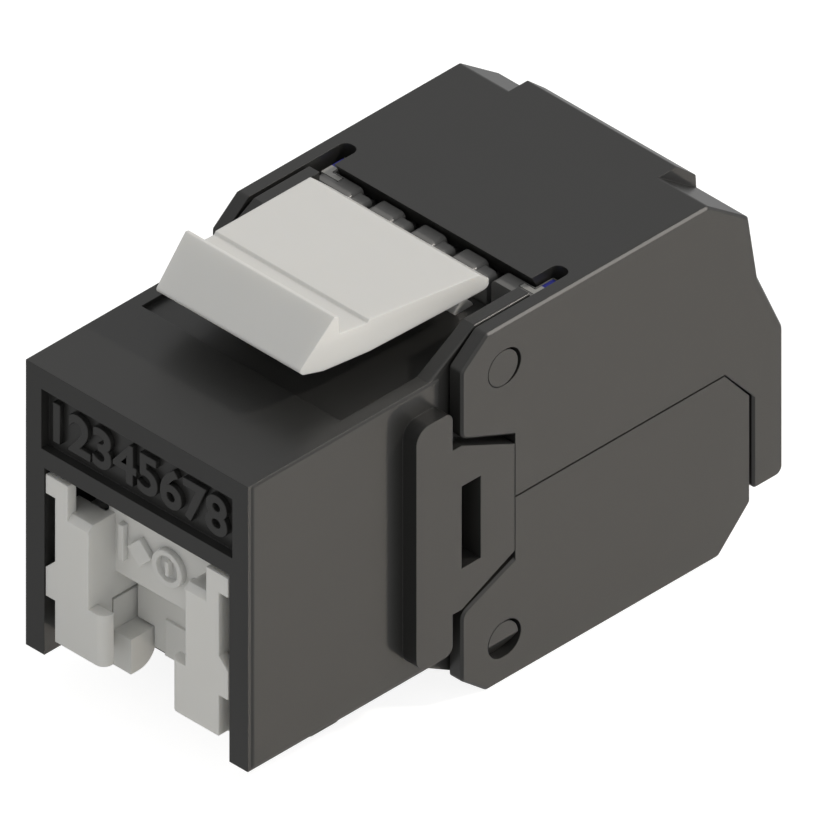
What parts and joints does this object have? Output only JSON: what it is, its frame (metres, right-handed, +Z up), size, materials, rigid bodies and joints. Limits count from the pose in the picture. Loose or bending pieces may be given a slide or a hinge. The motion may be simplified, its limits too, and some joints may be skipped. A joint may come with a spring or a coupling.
{
  "type": "keystone jack",
  "caption": "Keystone data jack with a modular socket, sprung top latch, socket cap and two hinged rear jaws that press the wires home.",
  "frame": {"origin": "under the middle of the jack, level with the underside of the jaws", "axes": "+X to the right seen from the front, +Y from the port to the cable end, +Z up to the latch"},
  "size_m": [0.0162, 0.0338, 0.0226],
  "materials": {
    "black_plastic": "satin",
    "white_plastic": "satin",
    "grey_plastic": "matt",
    "label_colour": "matt",
    "board": "satin",
    "gold_wire": "polished",
    "tinned_bronze": "satin"
  },
  "bodies": {
    "jack": {"front_housing": "black_plastic", "port_insert": "white_plastic", "contact_carrier": "grey_plastic", "circuit_board": "board", "idc_block_upper": "grey_plastic", "idc_block_lower": "grey_plastic", "wire_divider": "grey_plastic", "colour_label_right": "label_colour", "colour_label_left": "label_colour", "plug_contact_1": "gold_wire", "plug_contact_2": "gold_wire", "plug_contact_3": "gold_wire", "plug_contact_4": "gold_wire", "plug_contact_5": "gold_wire", "plug_contact_6": "gold_wire", "plug_contact_7": "gold_wire", "plug_contact_8": "gold_wire", "idc_contact_1": "tinned_bronze", "idc_contact_2": "tinned_bronze", "idc_contact_3": "tinned_bronze", "idc_contact_4": "tinned_bronze", "idc_contact_5": "tinned_bronze", "idc_contact_6": "tinned_bronze", "idc_contact_7": "tinned_bronze", "idc_contact_8": "tinned_bronze"},
    "latch": {"latch": "white_plastic"},
    "cap": {"dust_cap": "white_plastic"},
    "upper_jaw": {"upper_jaw": "black_plastic"},
    "lower_jaw": {"lower_jaw": "black_plastic"}
  },
  "joints": [
    {"name": "upper_jaw_hinge", "type": "hinge", "parent": "jack", "child": "upper_jaw", "pos_m": [0, -0.00128, 0.01762], "axis": [1, 0, 0], "range_deg": [0, 65]},
    {"name": "lower_jaw_hinge", "type": "hinge", "parent": "jack", "child": "lower_jaw", "pos_m": [0, -0.00128, 0.00238], "axis": [1, 0, 0], "range_deg": [-65, 0]},
    {"name": "latch_flex", "type": "hinge", "parent": "jack", "child": "latch", "pos_m": [0, 0.00045, 0.0176], "axis": [1, 0, 0], "range_deg": [0, 8], "stiffness_Nm_per_rad": 0.005},
    {"name": "cap_slide", "type": "slide", "parent": "jack", "child": "cap", "axis": [0, -1, 0], "range_m": [0, 0.014]}
  ],
  "couplings": [
    {"joint": "lower_jaw_hinge", "follows": "upper_jaw_hinge", "ratio": -1}
  ]
}
